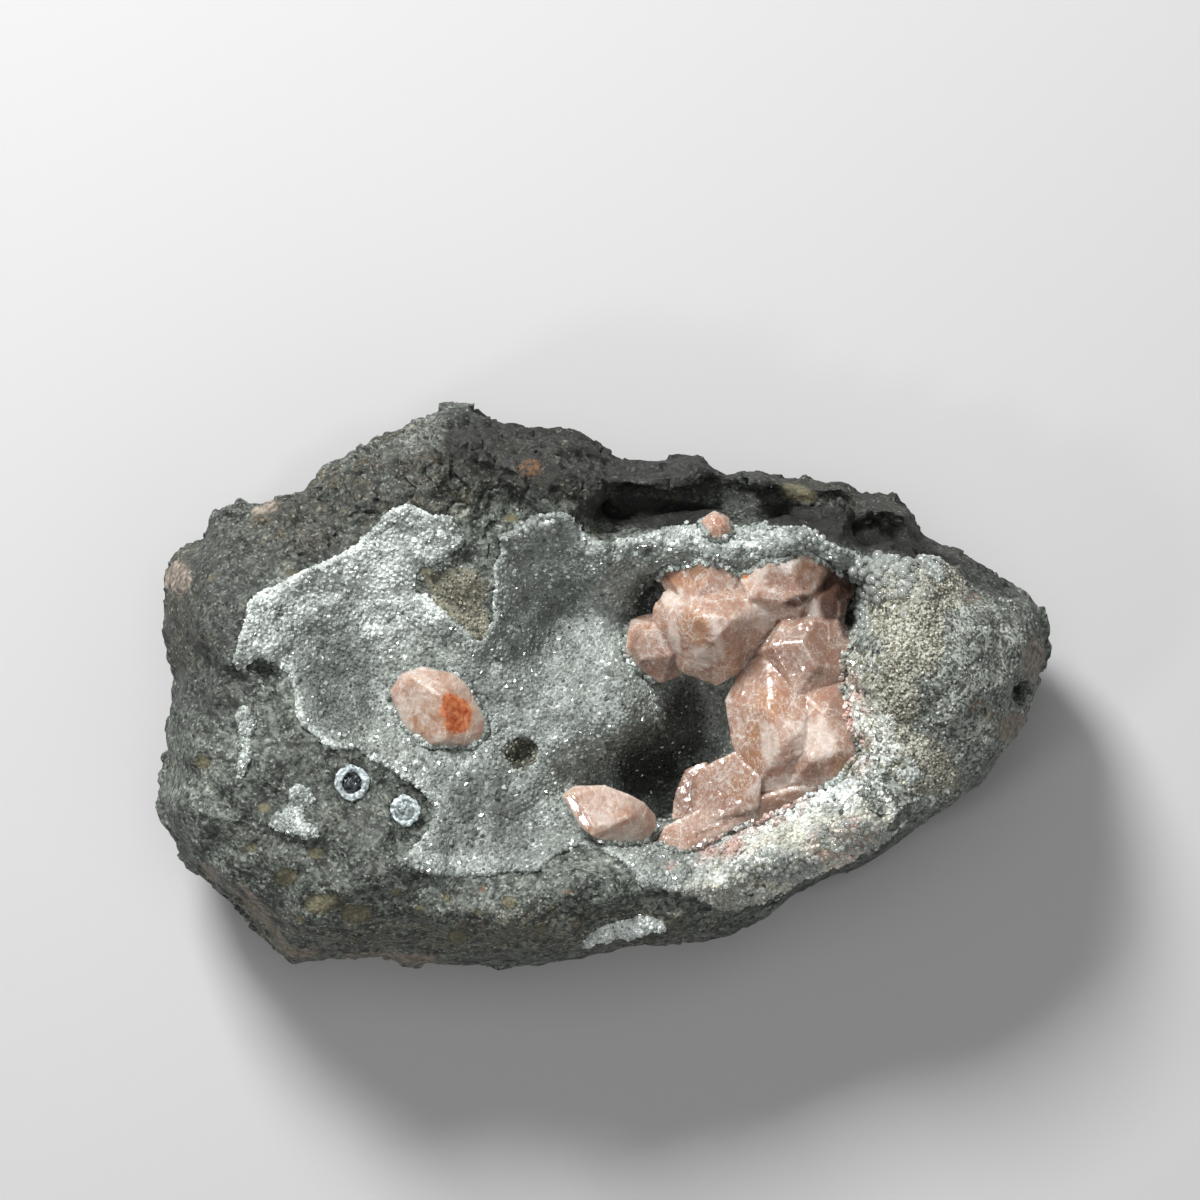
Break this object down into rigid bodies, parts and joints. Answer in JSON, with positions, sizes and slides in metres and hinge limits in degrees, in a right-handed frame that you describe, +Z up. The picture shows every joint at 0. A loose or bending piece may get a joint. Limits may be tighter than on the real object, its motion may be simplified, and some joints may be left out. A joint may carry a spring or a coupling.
{
  "type": "mineral specimen",
  "caption": "Hand specimen of basalt with an open hollow lined with analcime druse, holding salmon gmelinite crystals; it lies on its back.",
  "frame": {"origin": "middle of the underside of the bounding box, on the surface that the specimen rests on", "axes": "+X along the specimen, from the lone crystal's end to the cluster's end; +Y across it; +Z up, out of the lined hollow"},
  "size_m": [0.1002, 0.063, 0.0376],
  "materials": {
    "basalt": "rough, fine-grained and broken",
    "analcime": "sparkling druse of small glassy crystals",
    "gmelinite": "vitreous, translucent with white veils"
  },
  "bodies": {
    "root": {"basalt_matrix": "basalt", "analcime_crust": "analcime", "analcime_patch_at_lower_edge": "analcime", "analcime_patch_by_vesicles": "analcime", "analcime_streak_at_left": "analcime", "vesicle_lining_upper": "analcime", "vesicle_lining_lower": "analcime", "gmelinite_cluster": "gmelinite", "gmelinite_crystal_left": "gmelinite", "gmelinite_crystal_lower": "gmelinite", "gmelinite_crystal_at_top": "gmelinite"}
  },
  "joints": []
}
